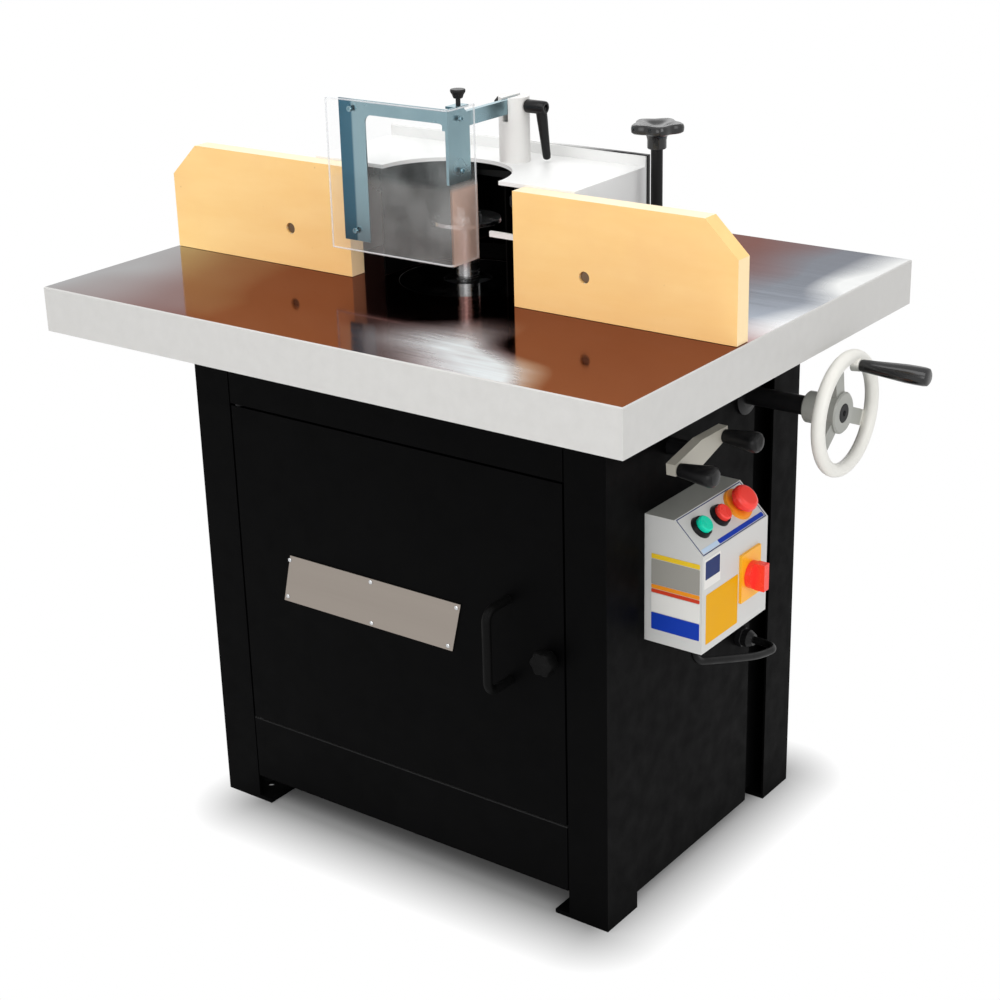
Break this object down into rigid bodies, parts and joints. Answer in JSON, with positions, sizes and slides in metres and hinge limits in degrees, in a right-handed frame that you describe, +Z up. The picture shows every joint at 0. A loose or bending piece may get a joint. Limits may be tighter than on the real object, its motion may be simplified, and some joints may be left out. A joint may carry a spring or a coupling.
{
  "type": "spindle moulder",
  "caption": "floor-standing spindle moulder: black cabinet, polished table, fence boards on a white dust hood, clear tilting guard, side handwheel and switch box",
  "frame": {"origin": "on the floor, in the middle of the four anchor holes in the feet", "axes": "+Z up, +X to the operator's right (handwheel side), +Y away from the operator who stands at the door"},
  "size_m": [1.025, 0.7, 1.038],
  "materials": {
    "cabinet_black": "semi-matt black powder coat",
    "black_plastic": "satin moulded plastic",
    "table_iron": "ground and polished top, light grey painted edge",
    "bright_steel": "turned and ground",
    "stainless_plate": "brushed stainless sheet",
    "casting_grey": "as cast, primed",
    "motor_alloy": "painted die casting",
    "belt_rubber": "woven rubber",
    "cable_jacket": "smooth jacket",
    "black_steel": "black oxide",
    "wheel_enamel": "off-white enamel",
    "lever_enamel": "grey enamel",
    "box_grey": "light grey powder coat",
    "button_green": "moulded",
    "button_red": "moulded",
    "signal_yellow": "moulded",
    "hood_white": "white powder coat",
    "post_grey": "light grey enamel",
    "zinc_plate": "blue zinc plate",
    "clear_shield": "clear polycarbonate",
    "board_wood": "sealed fibreboard"
  },
  "bodies": {
    "frame": {"cabinet_frame": "cabinet_black", "left_panel": "cabinet_black", "right_panel": "cabinet_black", "rear_panel": "cabinet_black", "hinge_pins": "bright_steel", "table": "table_iron", "table_rings": "bright_steel", "table_bolts": "bright_steel", "guide_bracket": "casting_grey", "guide_columns": "bright_steel", "shaft_bush": "black_steel", "switch_box": "box_grey", "button_bezels": "black_plastic", "emergency_collar": "signal_yellow", "isolator_plate": "signal_yellow", "cable_glands": "black_plastic", "switch_cable": "cable_jacket", "hood_studs": "black_steel"},
    "door_leaf": {"door": "cabinet_black", "door_handle": "cabinet_black", "name_plate": "stainless_plate"},
    "latch": {"latch_knob": "black_plastic", "latch_cam": "bright_steel"},
    "lift": {"carriage": "casting_grey", "spindle_bearings": "bright_steel", "motor_body": "motor_alloy", "motor_pillars": "bright_steel", "drive_belt": "belt_rubber"},
    "spindle_unit": {"spindle": "bright_steel", "spindle_cap": "bright_steel", "spindle_pulley": "casting_grey"},
    "motor_rotor": {"motor_shaft": "bright_steel", "motor_pulley": "casting_grey"},
    "screw": {"lead_screw": "bright_steel"},
    "wheel": {"handwheel_shaft": "black_steel", "handwheel": "wheel_enamel"},
    "crank": {"crank_handle": "black_plastic"},
    "height_lock": {"lock_lever": "lever_enamel", "lock_grips": "black_plastic", "lock_screw": "black_steel"},
    "start": {"start_button": "button_green"},
    "stop": {"stop_button": "button_red"},
    "emergency": {"emergency_button": "button_red"},
    "isolator": {"isolator_knob": "button_red"},
    "hood": {"fence_hood": "hood_white", "chip_deflector": "cabinet_black", "fence_plates": "hood_white", "guard_post": "post_grey", "dust_duct": "black_steel"},
    "left_fence": {"left_board": "board_wood", "left_fence_bolt": "bright_steel"},
    "right_fence": {"right_board": "board_wood", "right_fence_bolt": "bright_steel"},
    "left_clamp": {"left_clamp_knob": "black_plastic"},
    "right_clamp": {"right_clamp_knob": "black_plastic"},
    "guard_lever": {"guard_clamp_lever": "black_plastic"},
    "guard": {"guard_arm": "zinc_plate", "guard_bracket": "zinc_plate", "guard_shield": "clear_shield"},
    "thumb": {"thumb_knob": "black_plastic"}
  },
  "joints": [
    {"name": "door_swing", "type": "hinge", "parent": "frame", "child": "door_leaf", "pos_m": [-0.2595, -0.2295, 0.372], "axis": [0, 0, -1], "range_deg": [0, 110]},
    {"name": "latch_turn", "type": "hinge", "parent": "door_leaf", "child": "latch", "pos_m": [0.25, -0.2375, 0.371], "axis": [0, 1, 0], "range_deg": [0, 90]},
    {"name": "spindle_rise", "type": "slide", "parent": "frame", "child": "lift", "axis": [0, 0, 1], "range_m": [-0.06, 0.04]},
    {"name": "motor_spin", "type": "hinge", "parent": "lift", "child": "motor_rotor", "pos_m": [-0.2, -0.0575, 0.46], "axis": [0, 0, 1], "continuous": true},
    {"name": "spindle_spin", "type": "hinge", "parent": "lift", "child": "spindle_unit", "pos_m": [0, -0.0575, 0.6], "axis": [0, 0, 1], "continuous": true},
    {"name": "lead_screw_turn", "type": "hinge", "parent": "frame", "child": "screw", "pos_m": [0, 0.097, 0.55], "axis": [0, 0, 1], "range_deg": [-2880, 4320]},
    {"name": "handwheel_turn", "type": "hinge", "parent": "frame", "child": "wheel", "pos_m": [0.45, 0.097, 0.635], "axis": [1, 0, 0], "range_deg": [-2880, 4320]},
    {"name": "crank_spin", "type": "hinge", "parent": "wheel", "child": "crank", "pos_m": [0.53, 0.11224, 0.69613], "axis": [1, 0, 0], "continuous": true},
    {"name": "height_lock_turn", "type": "hinge", "parent": "frame", "child": "height_lock", "pos_m": [0.36, -0.0895, 0.622], "axis": [1, 0, 0], "range_deg": [-30, 45]},
    {"name": "start_press", "type": "slide", "parent": "frame", "child": "start", "axis": [-0.6983, 0, -0.7158], "range_m": [0, 0.003], "stiffness_N_per_m": 800, "springref_m": -0.002},
    {"name": "stop_press", "type": "slide", "parent": "frame", "child": "stop", "axis": [-0.6983, 0, -0.7158], "range_m": [0, 0.003], "stiffness_N_per_m": 800, "springref_m": -0.002},
    {"name": "emergency_press", "type": "slide", "parent": "frame", "child": "emergency", "axis": [-0.6983, 0, -0.7158], "range_m": [0, 0.003], "stiffness_N_per_m": 1200, "springref_m": -0.002},
    {"name": "isolator_turn", "type": "hinge", "parent": "frame", "child": "isolator", "pos_m": [0.42, -0.034, 0.45], "axis": [1, 0, 0], "range_deg": [0, 90]},
    {"name": "hood_slide", "type": "slide", "parent": "frame", "child": "hood", "axis": [0, 1, 0], "range_m": [-0.025, 0.025]},
    {"name": "left_fence_slide", "type": "slide", "parent": "hood", "child": "left_fence", "axis": [-1, 0, 0], "range_m": [-0.015, 0.03]},
    {"name": "right_fence_slide", "type": "slide", "parent": "hood", "child": "right_fence", "axis": [1, 0, 0], "range_m": [-0.015, 0.03]},
    {"name": "left_clamp_turn", "type": "hinge", "parent": "frame", "child": "left_clamp", "pos_m": [-0.235, 0.0275, 0.86], "axis": [0, 0, 1], "continuous": true},
    {"name": "right_clamp_turn", "type": "hinge", "parent": "frame", "child": "right_clamp", "pos_m": [0.235, 0.0275, 0.97], "axis": [0, 0, 1], "continuous": true},
    {"name": "guard_lever_turn", "type": "hinge", "parent": "hood", "child": "guard_lever", "pos_m": [0.075, -0.004, 1], "axis": [1, 0, 0], "range_deg": [-50, 50]},
    {"name": "guard_tilt", "type": "hinge", "parent": "hood", "child": "guard", "pos_m": [0.041, -0.004, 1], "axis": [-1, 0, 0], "range_deg": [0, 70]},
    {"name": "thumb_turn", "type": "hinge", "parent": "guard", "child": "thumb", "pos_m": [0.041, -0.12, 1.03], "axis": [0, 0, 1], "continuous": true}
  ],
  "couplings": [
    {"joint": "spindle_spin", "follows": "motor_spin", "ratio": 1.6667},
    {"joint": "lead_screw_turn", "follows": "spindle_rise", "rad_per_m": -1256.6},
    {"joint": "handwheel_turn", "follows": "spindle_rise", "rad_per_m": -1256.6}
  ]
}
